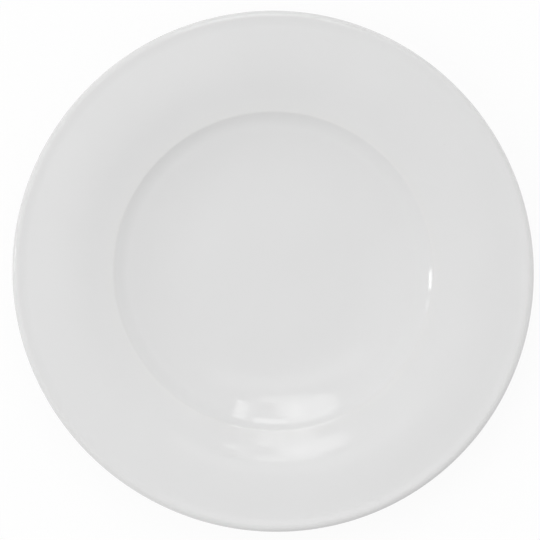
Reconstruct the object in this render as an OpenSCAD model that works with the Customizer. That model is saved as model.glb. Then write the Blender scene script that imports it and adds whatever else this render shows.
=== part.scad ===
// Broad rim plate in glazed porcelain, standing on z = 0 with its axis on +Z.
// One fired body is turned about the axis. A glaze coat covers its face, lip and back, and a second coat
// lines the recess inside its foot ring. Between the two, the face that the plate stands on is bare clay.

/* [Plate] */
// Diameter over the glazed lip
plate_d = 305; // [285:1:330]
// Thickness of the fired wall, from the dish out to the lip
wall_t = 4.8; // [3.6:0.1:6]

/* [Well] */
// Diameter of the well at its shoulder, the crisp line where the rim begins
well_d = 188; // [172:1:204]
// Thickness of the floor over the recess
base_t = 4.8; // [3.6:0.1:6.4]
// Width of the dish, the shallow slope round the flat floor
dish_w = 25.5; // [16:0.5:36]
// Height that the dish climbs
dish_rise = 7.3; // [4:0.1:9]
// Width of the steep wall under the shoulder
wall_w = 4.6; // [3.6:0.1:8]
// Height of the steep wall
wall_rise = 3.6; // [2.6:0.1:6]

/* [Rim] */
// Width of the rim's inner slope, from the shoulder to its bend
slope_w = 28.5; // [18:0.5:38]
// Height that the inner slope climbs
slope_rise = 7.3; // [3:0.1:9]
// Height that the nearly level brim climbs, from the bend to the lip
brim_rise = 0.7; // [0:0.1:3]

/* [Lip] */
// Width of the rolled lip
lip_w = 7.5; // [6:0.5:12]
// Height that the lip's inner side climbs
lip_rise = 1.5; // [0.6:0.1:2.4]
// Thickness of the lip at its edge
lip_t = 7; // [6:0.1:9]

/* [Foot ring] */
// Outer diameter of the foot ring where it stands
foot_d = 152; // [136:1:164]
// Width of the foot ring where it stands
foot_w = 5.5; // [4:0.5:8]
// Depth of the recess at the foot ring
foot_h = 3.8; // [2.6:0.1:6]
// Lean of the foot ring's two walls
foot_draft = 10; // [4:1:20]
// Height that the recess vaults up towards its middle
base_dome = 0.4; // [0:0.1:1]
// Diameter of the level middle of the recess
base_flat_d = 60; // [30:1:100]

/* [Glaze] */
// Thickness of both glaze coats
glaze_t = 0.3; // [0.2:0.05:0.5]
// Height at which the glaze stops on the foot ring's walls
glaze_line = 1; // [0.8:0.1:1.6]
// Height over which the glaze thins out to that line
glaze_fade = 0.6; // [0.3:0.1:1]

/* [Roundings] */
// Where the flat floor turns up into the dish
dish_r = 125; // [80:5:200]
// Where the dish turns up into the steep wall
cavetto_r = 20; // [8:1:30]
// Shoulder of the well
shoulder_r = 3.2; // [1:0.1:6]
// Bend of the rim
bend_r = 100; // [40:5:140]
// Hollow where the brim meets the lip
brim_r = 20; // [8:1:40]
// Upper edge of the lip
lip_top_r = 3.2; // [2:0.1:4.5]
// Lower edge of the lip
lip_under_r = 2.2; // [1:0.1:3]
// Hollow of the back under the shoulder
haunch_r = 4; // [2:0.5:8]
// Where the foot ring grows out of the back
foot_root_r = 3; // [1:0.5:6]
// Both edges of the standing face
foot_edge_r = 0.8; // [0.4:0.1:1]
// Corner of the recess
recess_r = 2; // [1:0.1:3]

/* [Hidden] */
$fn = 240;

// Most that a straight step along a rounding cuts inside it
arc_flat = 0.004;

// Heights of the face, stacked up from the table
base_z = foot_h + base_dome;
floor_z = base_z + base_t;
wall_z = floor_z + dish_rise;
shoulder_z = wall_z + wall_rise;
bend_z = shoulder_z + slope_rise;
lip_z = bend_z + brim_rise;
crest_z = lip_z + lip_rise;
fade_z = glaze_line + glaze_fade;

// Radii of the face, inwards and outwards from the shoulder, and in from the lip's edge
shoulder_x = well_d / 2;
wall_x = shoulder_x - wall_w;
dish_x = wall_x - dish_w;
bend_x = shoulder_x + slope_w;
edge_x = plate_d / 2 - glaze_t;
lip_x = edge_x - lip_w;

// Radii of the foot ring's leaning walls at a height above the table
function foot_outer(z) = foot_d / 2 + z * tan(foot_draft);
function foot_inner(z) = foot_d / 2 - foot_w - z * tan(foot_draft);

// Plane vectors
function heading(a, b) = (b - a) / norm(b - a);
function left_of(v) = [-v.y, v.x];
function cross_of(u, v) = u.x * v.y - u.y * v.x;
function turned(v, angle) = v * cos(angle) + left_of(v) * sin(angle);
function place(corner) = [corner.x, corner.y];
function reversed(list) = [for (i = [len(list) - 1:-1:0]) list[i]];
function middle(list) = [for (i = [1:1:len(list) - 2]) list[i]];

// Points of a path moved sideways, to the left of the way it runs, so that it stays the same distance off
function moved(points, distance) =
    let (last = len(points) - 1)
    [for (i = [0:last])
        let (before = left_of(heading(points[max(i - 1, 0)], points[max(i, 1)])),
             after = left_of(heading(points[min(i, last - 1)], points[min(i + 1, last)])),
             both = before + after)
        points[i] + both * 2 * distance / (both * both)];

// Signed turn of a path at one of its corners, to the left, and none at its ends
function turn_at(points, i) =
    i == 0 || i == len(points) - 1 ? 0 :
    let (arrive = heading(points[i - 1], points[i]), leave = heading(points[i], points[i + 1]))
    atan2(cross_of(arrive, leave), arrive * leave);

// How far each rounding reaches along its two sides, less where two of them share too short a side
function reaches(points, radii) =
    let (last = len(points) - 1,
         wanted = [for (i = [0:last]) radii[i] * tan(abs(turn_at(points, i)) / 2)],
         shares = [for (i = [1:last])
             let (side = norm(points[i] - points[i - 1]))
             side / max(side, wanted[i - 1] + wanted[i])])
    [for (i = [0:last]) wanted[i] * min(shares[max(i - 1, 0)], shares[min(i, last - 1)])];

// Points of the arc that rounds one corner, from one side to the other
function arc(start, arrive, angle, reach) =
    let (radius = reach / tan(angle / 2),
         centre = start + left_of(arrive) * radius,
         steps = ceil(abs(angle) / (2 * acos(1 - arc_flat / abs(radius)))))
    [for (k = [0:steps]) centre + turned(start - centre, angle * k / steps)];

// A path through corners of the form [radius, height, rounding], with each corner rounded
function rounded(corners) =
    let (points = [for (corner = corners) place(corner)],
         reach = reaches(points, [for (corner = corners) corner.z]))
    [for (i = [0:len(points) - 1])
        if (reach[i] == 0) points[i]
        else
            let (arrive = heading(points[i - 1], points[i]))
            each arc(points[i] - arrive * reach[i], arrive, turn_at(points, i), reach[i])];

// Where a line through a point meets a second line
function meet(point, along, point_2, along_2) =
    point + along * cross_of(point_2 - point, along_2) / cross_of(along, along_2);

// Outline of a coat on a path that starts on the axis, which thins out to nothing at the path's end
function coat_outline(path, thickness) =
    let (skin = moved(path, thickness))
    concat(path, reversed([for (i = [0:len(skin) - 2]) skin[i]]));

// Face of the body, from the axis to the edge of the lip
face = [
    [0, floor_z, 0],
    [dish_x, floor_z, dish_r],
    [wall_x, wall_z, cavetto_r],
    [shoulder_x, shoulder_z, shoulder_r],
    [bend_x, bend_z, bend_r],
    [lip_x, lip_z, brim_r],
    [edge_x, crest_z, lip_top_r]];

// Corners of the back, one wall under those of the face, and the line of the back under the dish
under_face = moved([for (corner = face) place(corner)], -wall_t);
under_wall = under_face[2];
under_shoulder = under_face[3];
under_bend = under_face[4];
under_lip = under_face[5];
foot_root = meet(under_wall, heading(under_face[1], under_wall),
                 [foot_outer(0), 0], [sin(foot_draft), cos(foot_draft)]);

// Back of the body, from the edge of the lip down to the glaze line on the foot ring
back = [
    [edge_x, crest_z - lip_t, lip_under_r],
    [under_lip.x, under_lip.y, brim_r + wall_t],
    [under_bend.x, under_bend.y, bend_r - wall_t],
    [under_shoulder.x, under_shoulder.y, haunch_r],
    [under_wall.x, under_wall.y, cavetto_r + wall_t],
    [foot_root.x, foot_root.y, foot_root_r],
    [foot_outer(fade_z), fade_z, 0],
    [foot_outer(glaze_line), glaze_line, 0]];

// Bare end of the foot ring, from glaze line to glaze line
standing = [
    [foot_outer(glaze_line), glaze_line, 0],
    [foot_outer(0), 0, foot_edge_r],
    [foot_inner(0), 0, foot_edge_r],
    [foot_inner(glaze_line), glaze_line, 0]];

// Recess inside the foot ring, from the axis down to the glaze line
recess = [
    [0, base_z, 0],
    [base_flat_d / 2, base_z, dish_r],
    [foot_inner(foot_h), foot_h, recess_r],
    [foot_inner(fade_z), fade_z, 0],
    [foot_inner(glaze_line), glaze_line, 0]];

outer_path = rounded(concat(face, back));
recess_path = rounded(recess);

// Fired clay of the whole plate, from floor to lip and down to its foot ring
module porcelain_body() {
    color("#ebe7df")
    rotate_extrude()
    polygon(concat(outer_path, middle(rounded(standing)), reversed(recess_path)));
}

// Glaze over the face, round the lip and down the back to the foot ring
module glaze_coat() {
    color("#e4e5e4")
    rotate_extrude()
    polygon(coat_outline(outer_path, glaze_t));
}

// Glaze that lines the recess inside the foot ring
module base_glaze() {
    color("#dfe1e1")
    rotate_extrude()
    polygon(coat_outline(recess_path, -glaze_t));
}

porcelain_body();
glaze_coat();
base_glaze();
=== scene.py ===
"""Looks of a broad rim plate: its fired body, and the glaze on its face, its back and under its base."""

import logging
import math
from abc import ABC, abstractmethod
from dataclasses import dataclass, replace
from enum import Enum

import bpy
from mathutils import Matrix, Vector


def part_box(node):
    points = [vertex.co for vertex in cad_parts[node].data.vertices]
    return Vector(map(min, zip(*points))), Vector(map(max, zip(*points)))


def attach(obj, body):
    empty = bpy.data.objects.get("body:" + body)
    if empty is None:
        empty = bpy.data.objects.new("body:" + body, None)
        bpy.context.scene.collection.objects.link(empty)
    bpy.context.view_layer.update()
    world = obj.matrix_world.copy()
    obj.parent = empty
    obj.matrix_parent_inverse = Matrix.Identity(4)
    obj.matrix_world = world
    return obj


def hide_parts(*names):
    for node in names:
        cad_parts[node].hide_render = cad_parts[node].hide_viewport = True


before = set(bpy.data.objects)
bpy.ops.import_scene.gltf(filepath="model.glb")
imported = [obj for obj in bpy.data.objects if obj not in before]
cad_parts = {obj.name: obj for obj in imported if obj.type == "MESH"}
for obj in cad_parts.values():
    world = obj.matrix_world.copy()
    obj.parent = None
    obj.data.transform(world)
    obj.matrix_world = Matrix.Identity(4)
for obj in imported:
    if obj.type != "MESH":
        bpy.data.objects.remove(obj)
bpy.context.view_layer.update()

LOG = logging.getLogger("plate")
MM = 0.001
Socket = bpy.types.NodeSocket
Colour = tuple[float, float, float]
WHITE: Colour = (1.0, 1.0, 1.0)


class Slot(Enum):
    """Material slots of the record."""

    BARE = "bare_porcelain"
    FACE = "white_glaze"
    BASE = "base_glaze"


class NodeSheet:
    """A node tree under construction, with short calls that add nodes and join their sockets."""

    def __init__(self, tree: bpy.types.NodeTree) -> None:
        """Take the tree that the nodes go into."""
        self.tree = tree

    def add(self, kind: str, inputs: dict | None = None, **settings: object) -> bpy.types.Node:
        """Add one node.

        Args:
            kind: Blender's name of the node type.
            inputs: What feeds each socket, by its name or number: an output socket or a plain value.
            settings: The node's own properties.

        Returns:
            The new node.
        """
        node = self.tree.nodes.new(kind)
        for name, value in settings.items():
            setattr(node, name, value)
        for socket, value in (inputs or {}).items():
            self.feed(node.inputs[socket], value)
        return node

    def feed(self, socket: Socket, value: object) -> None:
        """Join an output to a socket, or set the socket's own value.

        Args:
            socket: The input socket.
            value: An output socket or a plain value.
        """
        if isinstance(value, Socket):
            self.tree.links.new(value, socket)
        else:
            socket.default_value = value

    def group(self, tree: bpy.types.NodeTree, inputs: dict) -> Socket:
        """Add a shader node group with its inputs, and give its first output."""
        return self.add("ShaderNodeGroup", inputs, node_tree=tree).outputs[0]

    def math(self, operation: str, *values: object) -> Socket:
        """Add one step of arithmetic on one to three sockets or numbers, and give its result."""
        return self.add("ShaderNodeMath", dict(enumerate(values)), operation=operation).outputs[0]

    def blend(self, factor: object, first: object, second: object) -> Socket:
        """Mix two colours, where the factor is the share of the second."""
        node = self.add("ShaderNodeMix", {0: factor, 6: first, 7: second}, data_type="RGBA")
        return node.outputs[2]

    def ramp(self, value: object, low: object, high: object, start: float = 0.0,
             end: float = 1.0) -> Socket:
        """Map the range from low to high smoothly to that from start to end, and hold its ends."""
        node = self.add("ShaderNodeMapRange", {0: value, 1: low, 2: high, 3: start, 4: end},
                        interpolation_type="SMOOTHSTEP")
        return node.outputs[0]

    def attribute(self, name: str, data_type: str = "FLOAT") -> Socket:
        """Read a value that a curve or a mesh carries, by its name."""
        node = self.add("GeometryNodeInputNamedAttribute", {"Name": name}, data_type=data_type)
        return node.outputs["Attribute"]

    def reach(self, point: Socket) -> Socket:
        """Distance of a point from the plate's axis.

        Args:
            point: The point's socket.

        Returns:
            The distance's socket.
        """
        parts = self.add("ShaderNodeSeparateXYZ", {0: point}).outputs
        flat = self.add("ShaderNodeCombineXYZ", {"X": parts["X"], "Y": parts["Y"]}).outputs[0]
        return self.add("ShaderNodeVectorMath", {0: flat}, operation="LENGTH").outputs["Value"]

    def bump(self, height: Socket) -> Socket:
        """Shade a surface as if raised by a height in metres, which a distance of 1 leaves as it is."""
        return self.add("ShaderNodeBump", {"Height": height, "Distance": 1.0}).outputs[0]


def fresh_sheet(owner: bpy.types.Material | bpy.types.World) -> NodeSheet:
    """Start the nodes of a material or a world.

    Args:
        owner: The material or the world.

    Returns:
        Its empty sheet.
    """
    owner.use_nodes = True
    owner.node_tree.nodes.clear()
    return NodeSheet(owner.node_tree)


def new_group(name: str, kind: str, inputs: dict[str, str], outputs: dict[str, str]) -> bpy.types.NodeTree:
    """Start a node group with named sockets.

    Args:
        name: Name of the group.
        kind: Blender's name of the tree type.
        inputs: Socket type of each input.
        outputs: Socket type of each output.

    Returns:
        The empty group.
    """
    tree = bpy.data.node_groups.new(name, kind)
    for in_out, sockets in (("INPUT", inputs), ("OUTPUT", outputs)):
        for socket, socket_type in sockets.items():
            tree.interface.new_socket(socket, in_out=in_out, socket_type=socket_type)
    return tree


# Turned outlines

@dataclass(frozen=True)
class Corner:
    """One corner of a turned outline, at a radius and a height.

    The pool is 1 where glaze gathers and -1 where it thins. On the face it also places painted light, a
    lighter paint that lifts the shade in the well's wall and at the shoulder. What isn't shown lies under
    another piece.
    """

    r: float
    z: float
    rounding: float = 0.0
    # On the face this share also places painted light over the shade of the well's wall and the shoulder
    pool: float = 0.0
    shown: bool = True

    @property
    def place(self) -> Vector:
        """The corner as a point of the plane."""
        return Vector((self.r, self.z))

    def at(self, place: Vector) -> "Corner":
        """The same corner at another point."""
        return replace(self, r=place.x, z=place.y)


Outline = list[Corner]


def heading(start: Vector, end: Vector) -> Vector:
    """Direction from one point to another."""
    return (end - start).normalized()


def left_of(way: Vector) -> Vector:
    """Direction to the left of a direction."""
    return Vector((-way.y, way.x))


def turn_at(outline: Outline, index: int) -> float:
    """Turn of an outline at one corner, positive to the left and nothing at its ends.

    Args:
        outline: The outline.
        index: Number of the corner.

    Returns:
        The turn in radians.
    """
    if index in (0, len(outline) - 1):
        return 0.0
    arrive = heading(outline[index - 1].place, outline[index].place)
    leave = heading(outline[index].place, outline[index + 1].place)
    return math.atan2(arrive.cross(leave), arrive.dot(leave))


def moved(outline: Outline, distance: float) -> Outline:
    """Move an outline sideways, so that it runs beside the first at one distance.

    Args:
        outline: The outline to follow.
        distance: Distance to the left of it.

    Returns:
        The moved outline, with roundings that keep the same centres.
    """
    last = len(outline) - 1
    result = []
    for index, corner in enumerate(outline):
        before = left_of(heading(outline[max(index - 1, 0)].place, outline[max(index, 1)].place))
        after = left_of(heading(outline[min(index, last - 1)].place, outline[min(index + 1, last)].place))
        both = before + after
        toward = math.copysign(distance, turn_at(outline, index))
        grown = corner.rounding - toward if corner.rounding else 0.0
        place = corner.place + both * (2 * distance / both.dot(both))
        result.append(replace(corner.at(place), rounding=grown))
    return result


def hidden(outline: Outline) -> Outline:
    """The same outline for a surface that nothing shows."""
    return [replace(corner, shown=False) for corner in outline]


def meet(point: Vector, way: Vector, point_2: Vector, way_2: Vector) -> Vector:
    """Point where the line that runs one way through a point meets a second line."""
    return point + way * ((point_2 - point).cross(way_2) / way.cross(way_2))


@dataclass(frozen=True)
class PlateForm:
    """Sizes of the plate's profile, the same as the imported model's."""

    radius: float
    glaze: float
    wall: float = 4.8 * MM
    well_radius: float = 94.0 * MM
    floor_thickness: float = 4.8 * MM
    dish_width: float = 25.5 * MM
    dish_rise: float = 7.3 * MM
    wall_width: float = 4.6 * MM
    wall_rise: float = 3.6 * MM
    slope_width: float = 28.5 * MM
    slope_rise: float = 7.3 * MM
    brim_rise: float = 0.7 * MM
    lip_width: float = 7.5 * MM
    lip_rise: float = 1.5 * MM
    lip_thickness: float = 7.0 * MM
    foot_radius: float = 76.0 * MM
    foot_width: float = 5.5 * MM
    foot_height: float = 3.8 * MM
    foot_draft: float = math.radians(10.0)
    base_dome: float = 0.4 * MM
    base_flat_radius: float = 30.0 * MM
    glaze_line: float = 1.0 * MM
    glaze_fade: float = 0.6 * MM
    dish_rounding: float = 125.0 * MM
    cavetto_rounding: float = 20.0 * MM
    shoulder_rounding: float = 3.2 * MM
    bend_rounding: float = 100.0 * MM
    brim_rounding: float = 20.0 * MM
    lip_top_rounding: float = 3.2 * MM
    lip_under_rounding: float = 2.2 * MM
    haunch_rounding: float = 4.0 * MM
    foot_root_rounding: float = 3.0 * MM
    foot_edge_rounding: float = 0.8 * MM
    recess_rounding: float = 2.0 * MM

    @classmethod
    def from_frame(cls) -> "PlateForm":
        """Take the plate's radius and the glaze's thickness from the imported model."""
        coat_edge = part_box("glaze_coat")[1].x
        return cls(radius=coat_edge, glaze=coat_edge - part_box("porcelain_body")[1].x)

    @property
    def base_z(self) -> float:
        """Height of the recess at its middle."""
        return self.foot_height + self.base_dome

    @property
    def fade_z(self) -> float:
        """Height on the foot ring below which the glaze thins out."""
        return self.glaze_line + self.glaze_fade

    @property
    def crest_z(self) -> float:
        """Height of the lip's upper corner."""
        rises = (self.floor_thickness, self.dish_rise, self.wall_rise, self.slope_rise, self.brim_rise,
                 self.lip_rise)
        return self.base_z + sum(rises)

    @property
    def edge_r(self) -> float:
        """Radius of the fired body at the edge of its lip."""
        return self.radius - self.glaze

    def foot_outer(self, z: float) -> Vector:
        """Point of the foot ring's outer wall at a height."""
        return Vector((self.foot_radius + z * math.tan(self.foot_draft), z))

    def foot_inner(self, z: float) -> Vector:
        """Point of the foot ring's inner wall at a height."""
        return Vector((self.foot_radius - self.foot_width - z * math.tan(self.foot_draft), z))

    def face(self) -> Outline:
        """Outline of the body's face, from the axis to the edge of the lip.

        Returns:
            The outline.
        """
        floor_z = self.base_z + self.floor_thickness
        wall_z = floor_z + self.dish_rise
        shoulder_z = wall_z + self.wall_rise
        bend_z = shoulder_z + self.slope_rise
        wall_r = self.well_radius - self.wall_width
        return [
            Corner(0.0, floor_z),
            Corner(wall_r - self.dish_width, floor_z, self.dish_rounding),
            Corner(wall_r, wall_z, self.cavetto_rounding, pool=1.0),
            Corner(self.well_radius, shoulder_z, self.shoulder_rounding, pool=-1.0),
            Corner(self.well_radius + self.slope_width, bend_z, self.bend_rounding),
            Corner(self.edge_r - self.lip_width, bend_z + self.brim_rise, self.brim_rounding, pool=0.6),
            Corner(self.edge_r, self.crest_z, self.lip_top_rounding, pool=-0.8),
        ]

    def back(self) -> Outline:
        """Outline of the body's back, from the edge of the lip to the glaze line on the foot ring.

        Returns:
            The outline.
        """
        under = [corner.place for corner in moved(self.face(), -self.wall)]
        dish, wall, shoulder, bend, lip = under[1:-1]
        root = meet(wall, heading(dish, wall), self.foot_outer(0.0),
                    Vector((math.sin(self.foot_draft), math.cos(self.foot_draft))))
        return [
            Corner(self.edge_r, self.crest_z - self.lip_thickness, self.lip_under_rounding, pool=-0.6),
            Corner(*lip, self.brim_rounding + self.wall, pool=0.4),
            Corner(*bend, self.bend_rounding - self.wall),
            Corner(*shoulder, self.haunch_rounding, pool=0.7),
            Corner(*wall, self.cavetto_rounding + self.wall, pool=-0.3),
            Corner(*root, self.foot_root_rounding, pool=1.0),
            Corner(*self.foot_outer(self.fade_z)),
            Corner(*self.foot_outer(self.glaze_line), pool=-1.0),
        ]

    def standing(self) -> Outline:
        """Outline of the bare end of the foot ring, between the two glaze lines.

        Returns:
            The outline.
        """
        return [
            Corner(*self.foot_outer(self.glaze_line)),
            Corner(*self.foot_outer(0.0), self.foot_edge_rounding),
            Corner(*self.foot_inner(0.0), self.foot_edge_rounding),
            Corner(*self.foot_inner(self.glaze_line)),
        ]

    def recess(self) -> Outline:
        """Outline of the recess, from the glaze line inside the foot ring to the axis.

        Returns:
            The outline.
        """
        return [
            Corner(*self.foot_inner(self.glaze_line), pool=-1.0),
            Corner(*self.foot_inner(self.fade_z)),
            Corner(*self.foot_inner(self.foot_height), self.recess_rounding, pool=1.0),
            Corner(self.base_flat_radius, self.base_z, self.dish_rounding),
            Corner(0.0, self.base_z),
        ]


# Geometry of a turned piece

def axis_turner() -> bpy.types.NodeTree:
    """Build the group that turns one curve about the plate's axis.

    Returns:
        The group, which keeps the curve's shown and pool values on the mesh; the pool values place pooled
        glaze and painted light.
    """
    tree = new_group("turn_about_axis", "GeometryNodeTree",
                     {"Curve": "NodeSocketGeometry", "Segments": "NodeSocketInt"},
                     {"Mesh": "NodeSocketGeometry"})
    sheet = NodeSheet(tree)
    given = sheet.add("NodeGroupInput").outputs
    count = sheet.add("GeometryNodeAttributeDomainSize", {"Geometry": given["Curve"]}, component="CURVE")
    columns = sheet.math("ADD", given["Segments"], 1.0)
    grid = sheet.add("GeometryNodeMeshGrid", {
        "Vertices X": count.outputs["Point Count"], "Vertices Y": columns})
    index = sheet.add("GeometryNodeInputIndex").outputs[0]
    # The half keeps the first point of a row from rounding down into the row before
    row = sheet.math("FLOOR", sheet.math("DIVIDE", sheet.math("ADD", index, 0.5), columns))
    column = sheet.math("SUBTRACT", index, sheet.math("MULTIPLY", row, columns))
    angle = sheet.math("DIVIDE", sheet.math("MULTIPLY", column, math.tau), given["Segments"])

    def carried(value: Socket, data_type: str) -> Socket:
        """Read a value of the curve at each row of the grid."""
        sample = sheet.add("GeometryNodeSampleIndex", {
            "Geometry": given["Curve"], "Value": value, "Index": row}, data_type=data_type, domain="POINT")
        return sample.outputs["Value"]

    point = sheet.add("GeometryNodeInputPosition").outputs[0]
    parts = sheet.add("ShaderNodeSeparateXYZ", {0: carried(point, "FLOAT_VECTOR")}).outputs
    place = sheet.add("ShaderNodeCombineXYZ", {
        "X": sheet.math("MULTIPLY", parts["X"], sheet.math("COSINE", angle)),
        "Y": sheet.math("MULTIPLY", parts["X"], sheet.math("SINE", angle)),
        "Z": parts["Z"]})
    mesh = sheet.add("GeometryNodeSetPosition", {
        "Geometry": grid.outputs["Mesh"], "Position": place.outputs[0]})
    for name in ("shown", "pool"):
        mesh = sheet.add("GeometryNodeStoreNamedAttribute", {
            "Geometry": mesh.outputs["Geometry"], "Name": name,
            "Value": carried(sheet.attribute(name), "FLOAT")}, data_type="FLOAT", domain="POINT")
    sheet.add("NodeGroupOutput", {"Mesh": mesh.outputs["Geometry"]})
    return tree


class TurnedTree:
    """Geometry Nodes that round the corners of an outline, turn it, and give it the unevenness of firing."""

    OVAL_WAVES = 2.0
    LOBE_WAVES = 3.0
    RIPPLE_DETAIL = 1.0
    SIZES = ("Step", "Weld", "Foot Radius", "Edge Radius", "Warp", "Oval", "Oval Bearing", "Lobe",
             "Lobe Bearing", "Swell", "Swell Radius", "Swell Width", "Swell Reach", "Ripple",
             "Ripple Density", "Seed", "Sharp Angle")

    def __init__(self) -> None:
        """Build the tree, from its inputs to the dressed piece."""
        inputs = {"Corners": "NodeSocketGeometry", "Segments": "NodeSocketInt",
                  **dict.fromkeys(self.SIZES, "NodeSocketFloat"), "Material": "NodeSocketMaterial"}
        self.tree = new_group("turned_piece", "GeometryNodeTree", inputs, {"Piece": "NodeSocketGeometry"})
        self.sheet = NodeSheet(self.tree)
        self.given = self.sheet.add("NodeGroupInput").outputs
        self.point = self.sheet.add("GeometryNodeInputPosition").outputs[0]
        turn = self.sheet.add("GeometryNodeGroup", {
            "Curve": self.rounded(), "Segments": self.given["Segments"]}, node_tree=axis_turner())
        closed = self.sheet.add("GeometryNodeMergeByDistance", {
            "Geometry": turn.outputs["Mesh"], "Distance": self.given["Weld"]})
        move = self.sheet.add("ShaderNodeVectorMath", {0: self.ripple(), 1: self.drift()}, operation="ADD")
        fired = self.sheet.add("GeometryNodeSetPosition", {
            "Geometry": closed.outputs["Geometry"], "Offset": move.outputs[0]})
        shaded = self.creased(fired.outputs["Geometry"])
        real = self.sheet.add("GeometryNodeRealizeInstances", {"Geometry": shaded})
        dressed = self.sheet.add("GeometryNodeSetMaterial", {
            "Geometry": real.outputs["Geometry"], "Material": self.given["Material"]})
        self.sheet.add("NodeGroupOutput", {"Piece": dressed.outputs["Geometry"]})

    def rounded(self) -> Socket:
        """Round the outline's corners, and part its straight runs where they show.

        Returns:
            The curve's socket.
        """
        sheet = self.sheet
        curve = sheet.add("GeometryNodeMeshToCurve", {"Mesh": self.given["Corners"]})
        curve = sheet.add("GeometryNodeFilletCurve", {
            "Curve": curve.outputs["Curve"], "Count": sheet.attribute("steps", "INT"),
            "Radius": sheet.attribute("rounding"), "Limit Radius": True}, mode="POLY")
        following = sheet.add("GeometryNodeOffsetPointInCurve", {"Offset": 1}).outputs["Point Index"]
        ahead = sheet.add("GeometryNodeFieldAtIndex", {"Value": self.point, "Index": following},
                          data_type="FLOAT_VECTOR", domain="POINT").outputs["Value"]
        run = sheet.add("ShaderNodeVectorMath", {0: self.point, 1: ahead}, operation="DISTANCE")
        cuts = sheet.math("FLOOR", sheet.math("DIVIDE", run.outputs["Value"], self.given["Step"]))
        curve = sheet.add("GeometryNodeSubdivideCurve", {
            "Curve": curve.outputs["Curve"], "Cuts": sheet.math("MULTIPLY", cuts, sheet.attribute("shown"))})
        return curve.outputs["Curve"]

    def drift(self) -> Socket:
        """How far each point goes up with the warp and the swell, and out with the oval and the lobes.

        Returns:
            The socket of the move.
        """
        sheet = self.sheet
        given = self.given
        parts = sheet.add("ShaderNodeSeparateXYZ", {0: self.point}).outputs
        reach = sheet.reach(self.point)
        bearing = sheet.math("ARCTAN2", parts["Y"], parts["X"])
        oval = self.wave(bearing, "Oval Bearing", self.OVAL_WAVES)
        lobes = self.wave(bearing, "Lobe Bearing", self.LOBE_WAVES)
        lift = sheet.math("MULTIPLY", sheet.math("MULTIPLY", oval, given["Warp"]),
                          sheet.ramp(reach, given["Foot Radius"], given["Edge Radius"]))
        lift = sheet.math("MULTIPLY_ADD", self.swell_share(reach), given["Swell"], lift)
        growth = sheet.math("MULTIPLY", oval, given["Oval"])
        growth = sheet.math("MULTIPLY_ADD", lobes, given["Lobe"], growth)
        stretch = sheet.math("DIVIDE", growth, given["Edge Radius"])
        move = sheet.add("ShaderNodeCombineXYZ", {
            "X": sheet.math("MULTIPLY", parts["X"], stretch),
            "Y": sheet.math("MULTIPLY", parts["Y"], stretch), "Z": lift})
        return move.outputs[0]

    def wave(self, bearing: Socket, crest: str, count: float) -> Socket:
        """Wave of a count of crests round the plate, one of them at the bearing of the input named crest."""
        away = self.sheet.math("SUBTRACT", bearing, self.given[crest])
        return self.sheet.math("COSINE", self.sheet.math("MULTIPLY", away, count))

    def swell_share(self, reach: Socket) -> Socket:
        """Share of the swell, which dips inside its radius, climbs outside it and dies away on both sides.

        Args:
            reach: Distance of each point from the axis.

        Returns:
            The share's socket.
        """
        width = self.given["Swell Width"]
        beside = self.sheet.math("SUBTRACT", reach, self.given["Swell Radius"])
        inner_side = self.sheet.math("MULTIPLY", width, -1.0)
        climb = self.sheet.ramp(beside, inner_side, width, -1.0, 1.0)
        near = self.sheet.ramp(self.sheet.math("ABSOLUTE", beside), self.given["Swell Reach"], width)
        return self.sheet.math("MULTIPLY", climb, near)

    def ripple(self) -> Socket:
        """How far each point that shows goes along its normal with the soft ripple of the glaze.

        Returns:
            The socket of the move.
        """
        sheet = self.sheet
        noise = sheet.add("ShaderNodeTexNoise", {
            "Vector": self.point, "W": self.given["Seed"], "Scale": self.given["Ripple Density"],
            "Detail": self.RIPPLE_DETAIL}, noise_dimensions="4D")
        # The noise lies about one half
        height = sheet.math("MULTIPLY", sheet.math("SUBTRACT", noise.outputs[0], 0.5), self.given["Ripple"])
        height = sheet.math("MULTIPLY", height, sheet.attribute("shown"))
        normal = sheet.add("GeometryNodeInputNormal").outputs[0]
        move = sheet.add("ShaderNodeVectorMath", {0: normal, "Scale": height}, operation="SCALE")
        return move.outputs[0]

    def creased(self, mesh: Socket) -> Socket:
        """Shade the mesh smooth, apart from its sharp edges.

        Args:
            mesh: The mesh's socket.

        Returns:
            The shaded mesh's socket.
        """
        sheet = self.sheet
        smooth = sheet.add("GeometryNodeSetShadeSmooth", {"Geometry": mesh, "Shade Smooth": True})
        fold = sheet.add("GeometryNodeInputMeshEdgeAngle").outputs["Unsigned Angle"]
        sharp = sheet.math("GREATER_THAN", fold, self.given["Sharp Angle"])
        shaded = sheet.add("GeometryNodeSetShadeSmooth", {
            "Geometry": smooth.outputs["Geometry"], "Selection": sharp, "Shade Smooth": False},
            domain="EDGE")
        return shaded.outputs["Geometry"]


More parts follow.
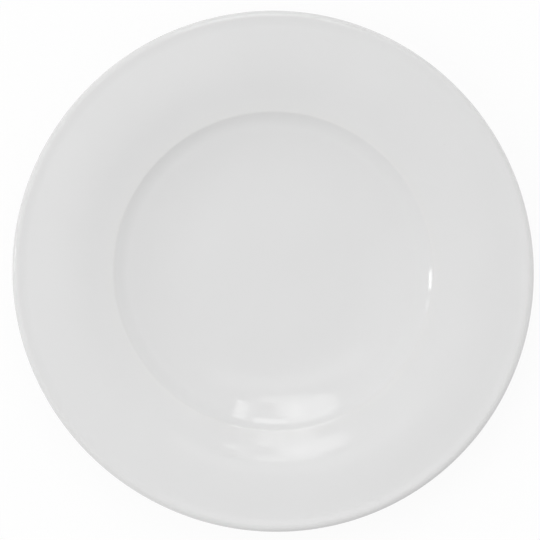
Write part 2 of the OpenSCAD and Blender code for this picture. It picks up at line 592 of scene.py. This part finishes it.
@dataclass(frozen=True)
class Lathe:
    """Turns closed outlines into meshes, with the fineness and the unevenness that all pieces share.

    A flat is the most that a straight step cuts inside a rounding, fine where it shows and coarse elsewhere.
    """

    tree: bpy.types.NodeTree
    form: PlateForm
    segments: int = 240
    step: float = 1.4 * MM
    fine_flat: float = 0.002 * MM
    coarse_flat: float = 0.03 * MM
    weld: float = 0.004 * MM
    warp: float = 0.2 * MM
    oval: float = 0.44 * MM
    oval_bearing: float = math.radians(-42.0)
    lobe: float = 0.27 * MM
    lobe_bearing: float = math.radians(-51.0)
    swell: float = 0.14 * MM
    swell_radius: float = 106.0 * MM
    swell_width: float = 5.7 * MM
    swell_reach: float = 24.0 * MM
    ripple_density: float = 45.0
    seed: float = 2.6
    sharp_angle: float = math.radians(35.0)

    def steps(self, outline: Outline, index: int) -> int:
        """Number of points that round one corner, so that straight steps keep close to the rounding.

        Args:
            outline: The outline.
            index: Number of the corner.

        Returns:
            The number of points.
        """
        corner = outline[index]
        if not corner.rounding:
            return 1
        flat = self.fine_flat if corner.shown else self.coarse_flat
        step = 2.0 * math.acos(1.0 - flat / corner.rounding)
        return 1 + math.ceil(abs(turn_at(outline, index)) / step)

    def corner_mesh(self, name: str, outline: Outline) -> bpy.types.Mesh:
        """Lay an outline's corners down as a chain of edges that carries their values.

        Args:
            name: Name of the mesh.
            outline: The outline.

        Returns:
            The mesh.
        """
        mesh = bpy.data.meshes.new(name)
        chain = [(index, index + 1) for index in range(len(outline) - 1)]
        mesh.from_pydata([(corner.r, 0.0, corner.z) for corner in outline], chain, [])
        values = {
            "rounding": ("FLOAT", [corner.rounding for corner in outline]),
            "pool": ("FLOAT", [corner.pool for corner in outline]),
            "shown": ("FLOAT", [float(corner.shown) for corner in outline]),
            "steps": ("INT", [self.steps(outline, index) for index in range(len(outline))]),
        }
        for label, (kind, numbers) in values.items():
            mesh.attributes.new(label, kind, "POINT").data.foreach_set("value", numbers)
        return mesh

    def turn(self, name: str, outline: Outline, ripple: float,
             material: bpy.types.Material) -> bpy.types.Object:
        """Turn a closed outline into a piece with a plain mesh.

        Args:
            name: Name of the piece.
            outline: Outline from the axis and back to it, with the outside on its left.
            ripple: Height of the unevenness of what shows.
            material: Material of the piece.

        Returns:
            The piece, without modifiers.
        """
        corners = self.corner_mesh(name + "_corners", outline)
        piece = bpy.data.objects.new(name, corners)
        bpy.context.scene.collection.objects.link(piece)
        modifier = piece.modifiers.new("turned", "NODES")
        modifier.node_group = self.tree
        values = {
            "Segments": self.segments, "Step": self.step, "Weld": self.weld,
            "Foot Radius": self.form.foot_radius, "Edge Radius": self.form.radius, "Warp": self.warp,
            "Oval": self.oval, "Oval Bearing": self.oval_bearing, "Lobe": self.lobe,
            "Lobe Bearing": self.lobe_bearing, "Swell": self.swell, "Swell Radius": self.swell_radius,
            "Swell Width": self.swell_width, "Swell Reach": self.swell_reach, "Ripple": ripple,
            "Ripple Density": self.ripple_density, "Seed": self.seed, "Sharp Angle": self.sharp_angle,
            "Material": material,
        }
        for item in self.tree.interface.items_tree:
            if item.name in values:
                modifier[item.identifier] = values[item.name]
        evaluated = piece.evaluated_get(bpy.context.evaluated_depsgraph_get())
        mesh = bpy.data.meshes.new_from_object(evaluated)
        mesh.name = name
        # The first slot came with the grid and holds no material
        mesh.materials.pop(index=0)
        piece.modifiers.remove(modifier)
        piece.data = mesh
        bpy.data.meshes.remove(corners)
        return piece


# Finishes

class Effects:
    """Surface effects that more than one finish uses, each a shader node group."""

    def __init__(self) -> None:
        """Build each group once."""
        self.specks = self.build_specks()
        self.mottle = self.build_mottle()
        self.rings = self.build_rings()

    @staticmethod
    def build_specks() -> bpy.types.NodeTree:
        """Sparse round specks that come out in firing.

        Returns:
            The group, whose mask is 1 on a speck.
        """
        tree = new_group("fired_specks", "ShaderNodeTree", {
            "Vector": "NodeSocketVector", "Density": "NodeSocketFloat", "Share": "NodeSocketFloat",
            "Radius": "NodeSocketFloat"}, {"Mask": "NodeSocketFloat"})
        sheet = NodeSheet(tree)
        given = sheet.add("NodeGroupInput").outputs
        cells = sheet.add("ShaderNodeTexVoronoi", {"Vector": given["Vector"], "Scale": given["Density"]})
        chance = sheet.add("ShaderNodeSeparateColor", {0: cells.outputs["Color"]}).outputs[0]
        chosen = sheet.math("LESS_THAN", chance, given["Share"])
        inside = sheet.ramp(cells.outputs["Distance"], given["Radius"], 0.0)
        sheet.add("NodeGroupOutput", {"Mask": sheet.math("MULTIPLY", chosen, inside)})
        return tree

    @staticmethod
    def build_mottle() -> bpy.types.NodeTree:
        """Soft cloudy change over a surface.

        Returns:
            The group, whose value lies about one half.
        """
        tree = new_group("soft_mottle", "ShaderNodeTree", {
            "Vector": "NodeSocketVector", "Density": "NodeSocketFloat", "Detail": "NodeSocketFloat"},
            {"Value": "NodeSocketFloat"})
        sheet = NodeSheet(tree)
        given = sheet.add("NodeGroupInput").outputs
        noise = sheet.add("ShaderNodeTexNoise", {
            "Vector": given["Vector"], "Scale": given["Density"], "Detail": given["Detail"]})
        sheet.add("NodeGroupOutput", {"Value": noise.outputs[0]})
        return tree

    @staticmethod
    def build_rings() -> bpy.types.NodeTree:
        """Fine rings that a tool leaves on turned clay.

        Returns:
            The group, whose value swings between 0 and 1 with the radius.
        """
        tree = new_group("turning_rings", "ShaderNodeTree", {
            "Vector": "NodeSocketVector", "Density": "NodeSocketFloat", "Waver": "NodeSocketFloat"},
            {"Value": "NodeSocketFloat"})
        sheet = NodeSheet(tree)
        given = sheet.add("NodeGroupInput").outputs
        turns = sheet.math("MULTIPLY", sheet.reach(given["Vector"]), given["Density"])
        noise = sheet.add("ShaderNodeTexNoise", {"W": turns}, noise_dimensions="1D")
        drift = sheet.math("MULTIPLY", noise.outputs[0], given["Waver"])
        wave = sheet.math("SINE", sheet.math("MULTIPLY", sheet.math("ADD", turns, drift), math.tau))
        sheet.add("NodeGroupOutput", {"Value": sheet.math("MULTIPLY_ADD", wave, 0.5, 0.5)})
        return tree


def opaque(colour: Colour) -> tuple[float, float, float, float]:
    """The colour with full alpha."""
    return (*colour, 1.0)


def new_material(name: str) -> tuple[bpy.types.Material, NodeSheet, bpy.types.Node]:
    """Start a material with one main shader.

    Args:
        name: Name of the material.

    Returns:
        The material, its sheet of nodes and its main shader.
    """
    material = bpy.data.materials.new(name)
    sheet = fresh_sheet(material)
    shader = sheet.add("ShaderNodeBsdfPrincipled")
    sheet.add("ShaderNodeOutputMaterial", {"Surface": shader.outputs[0]})
    return material, sheet, shader


@dataclass(frozen=True)
class GlazeFinish:
    """White gloss glaze: whiter where it pools, and showing more of the clay where it thins. On the face
    both tints are also painted light, a lighter colour that lifts the shade in the well's wall and on the
    shoulder.
    """

    slot: Slot
    colour: Colour
    # Partly painted light on the face: the two tints below are lighter than the glaze, to lift the shade in
    # the well's wall and on the shoulder
    pooled_and_painted_light: Colour
    thin_and_painted_light: Colour
    thin_from: float = -0.55
    cloud_density: float = 22.0
    cloud_detail: float = 3.0
    cloud_low: float = 0.3
    cloud_high: float = 0.75
    tone: float = 0.012
    gloss: float = 0.05
    dullest: float = 0.095
    ior: float = 1.5
    peel: float = 0.003 * MM
    peel_density: float = 260.0
    peel_detail: float = 1.0
    speck: Colour = (0.36, 0.33, 0.28)
    speck_density: float = 90.0
    speck_share: float = 0.02
    speck_radius: float = 0.022
    ring_density: float = 700.0
    ring_waver: float = 1.5
    ring_height: float = 0.0

    def material(self, effects: Effects) -> bpy.types.Material:
        """Build the glaze's material.

        Args:
            effects: Shared surface effects.

        Returns:
            The material.
        """
        material, sheet, shader = new_material(self.slot.value)
        where = sheet.add("ShaderNodeTexCoord").outputs["Object"]
        cloud = sheet.group(effects.mottle, {
            "Vector": where, "Density": self.cloud_density, "Detail": self.cloud_detail})
        specks = sheet.group(effects.specks, {
            "Vector": where, "Density": self.speck_density, "Share": self.speck_share,
            "Radius": self.speck_radius})
        colour = sheet.blend(specks, self.clouded(sheet, cloud), opaque(self.speck))
        sheet.feed(shader.inputs["Base Color"], colour)
        roughness = sheet.ramp(cloud, self.cloud_low, self.cloud_high, self.gloss, self.dullest)
        sheet.feed(shader.inputs["Roughness"], roughness)
        sheet.feed(shader.inputs["Normal"], sheet.bump(self.skin(sheet, effects, where)))
        shader.inputs["IOR"].default_value = self.ior
        return material

    def clouded(self, sheet: NodeSheet, cloud: Socket) -> Socket:
        """Colour of the glaze, by how it pools and thins, with soft changes of tone. On the face the tints
        of pooled and thinned glaze are partly painted light over the shade of the well's wall and the
        shoulder.

        Args:
            sheet: Nodes of the material.
            cloud: Soft change over the surface.

        Returns:
            The colour's socket.
        """
        pool = sheet.add("ShaderNodeAttribute", attribute_name="pool").outputs["Fac"]
        # Painted light: on the face the pooled and thinned tints lift the shade of the well's wall and the
        # shoulder
        colour = sheet.blend(sheet.ramp(pool, 0.0, 1.0), opaque(self.colour), opaque(self.pooled_and_painted_light))
        colour = sheet.blend(sheet.ramp(pool, self.thin_from, -1.0), colour, opaque(self.thin_and_painted_light))
        shade = sheet.ramp(cloud, self.cloud_low, self.cloud_high, 1.0 - self.tone, 1.0)
        return sheet.add("ShaderNodeVectorMath", {0: colour, "Scale": shade}, operation="SCALE").outputs[0]

    def skin(self, sheet: NodeSheet, effects: Effects, where: Socket) -> Socket:
        """Height of the faint texture of the glaze's skin, and of turning rings that show through it.

        Args:
            sheet: Nodes of the material.
            effects: Shared surface effects.
            where: Place on the surface.

        Returns:
            The height's socket.
        """
        peel = sheet.group(effects.mottle, {
            "Vector": where, "Density": self.peel_density, "Detail": self.peel_detail})
        height = sheet.math("MULTIPLY", peel, self.peel)
        if not self.ring_height:
            return height
        rings = sheet.group(effects.rings, {
            "Vector": where, "Density": self.ring_density, "Waver": self.ring_waver})
        return sheet.math("MULTIPLY_ADD", rings, self.ring_height, height)


@dataclass(frozen=True)
class BareFinish:
    """Fired clay without glaze, ground smooth where it stands."""

    slot: Slot
    colour: Colour
    worn: Colour
    ground_height: float = 0.3 * MM
    dirt_low: float = 0.35
    dirt_high: float = 0.75
    roughness: float = 0.62
    ground_roughness: float = 0.45
    grain: float = 0.02 * MM
    grain_density: float = 1800.0
    grain_detail: float = 4.0
    speck: Colour = (0.30, 0.26, 0.20)
    speck_density: float = 300.0
    speck_share: float = 0.08
    speck_radius: float = 0.09
    ring_density: float = 900.0
    ring_waver: float = 2.0
    ring_height: float = 0.012 * MM

    def material(self, effects: Effects) -> bpy.types.Material:
        """Build the bare clay's material.

        Args:
            effects: Shared surface effects.

        Returns:
            The material.
        """
        material, sheet, shader = new_material(self.slot.value)
        where = sheet.add("ShaderNodeTexCoord").outputs["Object"]
        height_above = sheet.add("ShaderNodeSeparateXYZ", {0: where}).outputs["Z"]
        ground = sheet.ramp(height_above, self.ground_height, 0.0)
        grain = sheet.group(effects.mottle, {
            "Vector": where, "Density": self.grain_density, "Detail": self.grain_detail})
        rings = sheet.group(effects.rings, {
            "Vector": where, "Density": self.ring_density, "Waver": self.ring_waver})
        specks = sheet.group(effects.specks, {
            "Vector": where, "Density": self.speck_density, "Share": self.speck_share,
            "Radius": self.speck_radius})
        dirt = sheet.math("MULTIPLY", ground, sheet.ramp(grain, self.dirt_low, self.dirt_high))
        colour = sheet.blend(dirt, opaque(self.colour), opaque(self.worn))
        sheet.feed(shader.inputs["Base Color"], sheet.blend(specks, colour, opaque(self.speck)))
        roughness = sheet.ramp(ground, 0.0, 1.0, self.roughness, self.ground_roughness)
        sheet.feed(shader.inputs["Roughness"], roughness)
        height = sheet.math("MULTIPLY", grain, self.grain)
        height = sheet.math("MULTIPLY_ADD", sheet.math("MULTIPLY", rings, ground), self.ring_height, height)
        sheet.feed(shader.inputs["Normal"], sheet.bump(height))
        return material


# Pieces of the plate

@dataclass(frozen=True)
class TurnedPart(ABC):
    """One piece of the plate, turned from a closed outline and dressed in one finish."""

    lathe: Lathe
    finish: BareFinish | GlazeFinish
    name: str
    node: str
    ripple: float

    @abstractmethod
    def outline(self) -> Outline:
        """Closed outline of the piece, from the axis and back to it."""

    def build(self, effects: Effects) -> bpy.types.Object:
        """Turn the piece and give it its finish."""
        return self.lathe.turn(self.name, self.outline(), self.ripple, self.finish.material(effects))


@dataclass(frozen=True)
class FiredBody(TurnedPart):
    """The fired clay, of which only the bare end of the foot ring shows."""

    name: str = "plate_body"
    node: str = "porcelain_body"
    ripple: float = 0.0

    def outline(self) -> Outline:
        """Outline of the whole body, hidden where glaze lies on it."""
        form = self.lathe.form
        return hidden(form.face() + form.back()[:-1]) + form.standing() + hidden(form.recess()[1:])


@dataclass(frozen=True)
class FaceGlaze(TurnedPart):
    """The glaze over the face, round the lip and down the back to the foot ring."""

    name: str = "plate_glaze"
    node: str = "glaze_coat"
    ripple: float = 0.03 * MM

    def outline(self) -> Outline:
        """Outline of the coat, which thins out at the glaze line.

        Returns:
            The outline.
        """
        form = self.lathe.form
        bed = form.face() + form.back()
        skin = moved(bed, form.glaze)[:-1]
        return skin + hidden(bed[::-1])


@dataclass(frozen=True)
class BaseGlaze(TurnedPart):
    """The glaze that lines the recess inside the foot ring."""

    name: str = "plate_base_glaze"
    node: str = "base_glaze"
    ripple: float = 0.02 * MM

    def outline(self) -> Outline:
        """Outline of the lining, which thins out at the glaze line.

        Returns:
            The outline.
        """
        form = self.lathe.form
        bed = form.recess()
        skin = moved(bed, form.glaze)[1:]
        return hidden(bed[::-1]) + skin


# Studio

@dataclass(frozen=True)
class Pane:
    """An upright light panel that faces the plate, placed by angles in degrees from the plate's middle.

    The bearing runs from +Y towards -X, and the top and the bottom are angles from straight up.
    """

    name: str
    bearing: float
    width: float
    top: float
    bottom: float
    radiance: float
    distance: float = 0.9
    mirrored: bool = True

    def place(self) -> bpy.types.Object:
        """Hang the panel in the studio.

        Returns:
            The light, which cameras don't see.
        """
        bearing = math.radians(self.bearing)
        out = Vector((-math.sin(bearing), math.cos(bearing), 0.0))
        low, high = (self.distance / math.tan(math.radians(angle)) for angle in (self.bottom, self.top))
        lamp = bpy.data.lights.new(self.name, "AREA")
        lamp.shape = "RECTANGLE"
        lamp.size = 2.0 * self.distance * math.tan(math.radians(self.width / 2.0))
        lamp.size_y = high - low
        lamp.energy = self.radiance * math.pi * lamp.size * lamp.size_y
        light = bpy.data.objects.new(self.name, lamp)
        light.location = out * self.distance + Vector((0.0, 0.0, (low + high) / 2.0))
        light.rotation_euler = (-out).to_track_quat("-Z", "Y").to_euler()
        light.visible_camera = False
        light.visible_glossy = self.mirrored
        bpy.context.scene.collection.objects.link(light)
        return light


@dataclass(frozen=True)
class Studio:
    """Pale floor, white background, soft light and the camera over the plate.

    Places in the photograph are in its pixels. The lean is the share by which the soft light grows towards
    each axis. The dim patch is a round stretch of floor that throws less light up at the plate.
    """

    form: PlateForm
    photo_pixels: int = 540
    photo_centre: tuple[float, float] = (273.5, 271.42)
    photo_radius: float = 260.8
    lens: float = 135.0
    sensor: float = 36.0
    floor_reach: float = 6.0
    floor_drop: float = 0.05 * MM
    floor_colour: Colour = (0.86, 0.86, 0.86)
    shadow_colour: Colour = (0.95, 0.95, 0.95)
    shadow_share: float = 0.08
    dim_colour: Colour = (0.18, 0.18, 0.18)
    dim_centre: tuple[float, float, float] = (83.0 * MM, -197.0 * MM, 0.0)
    dim_inner: float = 92.0 * MM
    dim_outer: float = 130.0 * MM
    ambient: float = 0.7085
    ambient_lean: tuple[float, float, float] = (-0.07, 0.12, 0.0)
    panes: tuple[Pane, ...] = (
        Pane("window_left", bearing=13.8, width=16.4, top=22.8, bottom=53.5, radiance=1.76),
        Pane("window_edge", bearing=24.0, width=4.0, top=24.8, bottom=42.0, radiance=1.7),
        Pane("window_right", bearing=-13.9, width=5.1, top=24.5, bottom=46.5, radiance=2.4),
        Pane("window_frame", bearing=-9.5, width=3.8, top=21.0, bottom=48.0, radiance=0.45),
        Pane("window_brow", bearing=9.6, width=8.0, top=20.5, bottom=22.8, radiance=1.6),
        Pane("window_head", bearing=-0.6, width=11.2, top=20.7, bottom=23.6, radiance=1.55),
        Pane("window_corner", bearing=3.0, width=4.0, top=23.6, bottom=27.5, radiance=1.8),
        Pane("window_shade", bearing=-2.5, width=15.0, top=23.6, bottom=33.0, radiance=0.15),
        Pane("window_sill", bearing=-1.6, width=13.2, top=33.0, bottom=51.0, radiance=2.5),
        Pane("window_glint", bearing=7.6, width=4.6, top=24.5, bottom=34.0, radiance=1.5),
        Pane("window_glow", bearing=8.0, width=80.0, top=11.0, bottom=18.0, radiance=0.4),
        Pane("side_lamp", bearing=87.4, width=6.6, top=64.0, bottom=74.0, radiance=6.7, distance=1.0),
        Pane("side_glow", bearing=78.2, width=3.4, top=65.0, bottom=73.5, radiance=2.0, distance=1.0),
        Pane("right_glow", bearing=-68.0, width=90.0, top=58.0, bottom=76.0, radiance=0.5, distance=2.0),
        Pane("side_fill", bearing=105.0, width=70.0, top=22.0, bottom=60.0, radiance=0.9, distance=0.6,
             mirrored=False),
    )

    @staticmethod
    def background_share(sheet: NodeSheet) -> Socket:
        """Share that is 1 for rays that show the background: straight, mirrored or through glass.

        Args:
            sheet: Nodes of the material or the world.

        Returns:
            The share's socket.
        """
        path = sheet.add("ShaderNodeLightPath").outputs
        shown = sheet.math("MAXIMUM", path["Is Camera Ray"], path["Is Glossy Ray"])
        return sheet.math("MAXIMUM", shown, path["Is Transmission Ray"])

    def build_world(self) -> None:
        """Light the plate from all round, and show plain white behind it."""
        world = bpy.data.worlds.new("studio")
        sheet = fresh_sheet(world)
        toward = sheet.add("ShaderNodeTexCoord").outputs["Generated"]
        lean = sheet.add("ShaderNodeVectorMath", {0: toward, 1: self.ambient_lean}, operation="DOT_PRODUCT")
        level = sheet.math("MULTIPLY_ADD", lean.outputs["Value"], self.ambient, self.ambient)
        fill = sheet.add("ShaderNodeBackground", {"Color": opaque(WHITE), "Strength": level})
        white = sheet.add("ShaderNodeBackground", {"Color": opaque(WHITE), "Strength": 1.0})
        both = sheet.add("ShaderNodeMixShader", {
            0: self.background_share(sheet), 1: fill.outputs[0], 2: white.outputs[0]})
        sheet.add("ShaderNodeOutputWorld", {"Surface": both.outputs[0]})
        bpy.context.scene.world = world

    def floor_material(self) -> bpy.types.Material:
        """Build the floor's material, which looks white and keeps the plate's shadow.

        Its paint isn't seen, and only sets how much light the floor throws up at the plate.

        Returns:
            The material.
        """
        material = bpy.data.materials.new("floor")
        sheet = fresh_sheet(material)
        where = sheet.add("ShaderNodeTexCoord").outputs["Object"]
        away = sheet.add("ShaderNodeVectorMath", {0: where, 1: self.dim_centre}, operation="DISTANCE")
        dim = sheet.ramp(away.outputs["Value"], self.dim_outer, self.dim_inner)
        colour = sheet.blend(dim, opaque(self.floor_colour), opaque(self.dim_colour))
        paint = sheet.add("ShaderNodeBsdfDiffuse", {"Color": colour})
        white = sheet.add("ShaderNodeEmission", {"Color": opaque(WHITE), "Strength": 1.0})
        pale = sheet.add("ShaderNodeBsdfDiffuse", {"Color": opaque(self.shadow_colour)})
        seen = sheet.add("ShaderNodeMixShader", {
            0: self.shadow_share, 1: white.outputs[0], 2: pale.outputs[0]})
        both = sheet.add("ShaderNodeMixShader", {
            0: self.background_share(sheet), 1: paint.outputs[0], 2: seen.outputs[0]})
        sheet.add("ShaderNodeOutputMaterial", {"Surface": both.outputs[0]})
        return material

    def build_floor(self) -> None:
        """Lay the floor just under the plate."""
        reach = self.floor_reach
        mesh = bpy.data.meshes.new("floor")
        corners = [(-reach, -reach), (reach, -reach), (reach, reach), (-reach, reach)]
        mesh.from_pydata([(x, y, -self.floor_drop) for x, y in corners], [], [(0, 1, 2, 3)])
        mesh.materials.append(self.floor_material())
        floor = bpy.data.objects.new("floor", mesh)
        bpy.context.scene.collection.objects.link(floor)

    def build_camera(self) -> None:
        """Set the camera straight over the plate, as the photograph was taken."""
        scale = self.form.radius / self.photo_radius
        middle = self.photo_pixels / 2
        lens = bpy.data.cameras.new("camera")
        lens.lens = self.lens
        lens.sensor_width = self.sensor
        camera = bpy.data.objects.new("camera", lens)
        widest_z = self.form.crest_z - self.form.lip_top_rounding
        camera.location = (
            (middle - self.photo_centre[0]) * scale,
            (self.photo_centre[1] - middle) * scale,
            widest_z + scale * self.photo_pixels * self.lens / self.sensor)
        bpy.context.scene.collection.objects.link(camera)
        bpy.context.scene.camera = camera

    def build(self) -> None:
        """Set up the whole studio."""
        self.build_world()
        self.build_floor()
        self.build_camera()
        for pane in self.panes:
            pane.place()
        bpy.context.scene.view_settings.view_transform = "Standard"


# The face's pooled and thinned tints are lighter than its glaze: partly glaze, partly painted light over the
# shade of the well's wall and shoulder
FACE_FINISH = GlazeFinish(Slot.FACE, colour=(0.756, 0.756, 0.756), pooled_and_painted_light=(0.7605, 0.761, 0.761),
                          thin_and_painted_light=(0.759, 0.758, 0.755))
BASE_FINISH = GlazeFinish(Slot.BASE, colour=(0.758, 0.759, 0.758), pooled_and_painted_light=(0.77, 0.772, 0.772),
                          thin_and_painted_light=(0.748, 0.745, 0.738), ring_height=0.004 * MM)
CLAY_FINISH = BareFinish(Slot.BARE, colour=(0.78, 0.75, 0.69), worn=(0.62, 0.59, 0.54))


def main() -> None:
    """Build the plate's pieces and the studio, and report each piece."""
    logging.basicConfig(level=logging.INFO, format="%(name)s: %(message)s")
    form = PlateForm.from_frame()
    Studio(form).build()
    lathe = Lathe(TurnedTree().tree, form)
    effects = Effects()
    parts = (FiredBody(lathe, CLAY_FINISH), FaceGlaze(lathe, FACE_FINISH), BaseGlaze(lathe, BASE_FINISH))
    for part in parts:
        piece = part.build(effects)
        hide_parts(part.node)
        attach(piece, "root")
        LOG.info("%s: %d faces for %s", piece.name, len(piece.data.polygons), part.node)


if __name__ == "__main__":
    main()
